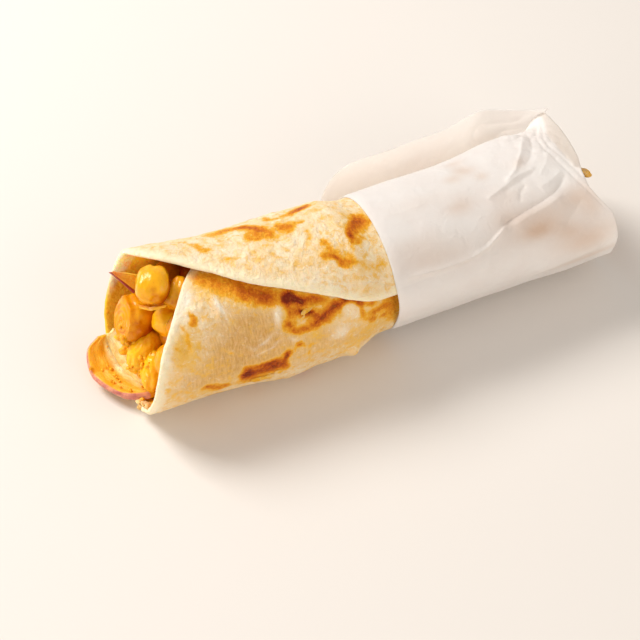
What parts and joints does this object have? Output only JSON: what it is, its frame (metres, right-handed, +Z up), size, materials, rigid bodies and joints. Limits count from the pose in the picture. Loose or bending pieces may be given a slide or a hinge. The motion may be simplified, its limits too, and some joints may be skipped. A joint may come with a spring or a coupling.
{
  "type": "kathi roll",
  "caption": "Griddled flatbread wound round spiced chickpeas and red onion, open at one end to show the filling, its other half in a loose sleeve of white greaseproof paper.",
  "frame": {"origin": "on the ground under the middle of the whole part's footprint", "axes": "+X along the roll towards its sleeved end, +Y towards the back where the paper's loose flap stands off, +Z up"},
  "size_m": [0.1798, 0.0629, 0.0499],
  "materials": {
    "bread": "pan-fried wheat bread: cream with browned patches, a dull oily sheen",
    "filling": "boiled chickpeas in a moist yellow-orange spice paste",
    "onion": "raw red onion: pale moist flesh stained by the spices, a purple skin edge",
    "chickpea_skin": "thin moist chickpea skin",
    "paper": "thin white greaseproof paper, matte, creased and a little translucent"
  },
  "bodies": {
    "root": {"flatbread": "bread", "filling": "filling", "onion_slice_low": "onion", "onion_slice_high": "onion", "chickpea_skin": "chickpea_skin", "paper_wrap": "paper"}
  },
  "joints": []
}
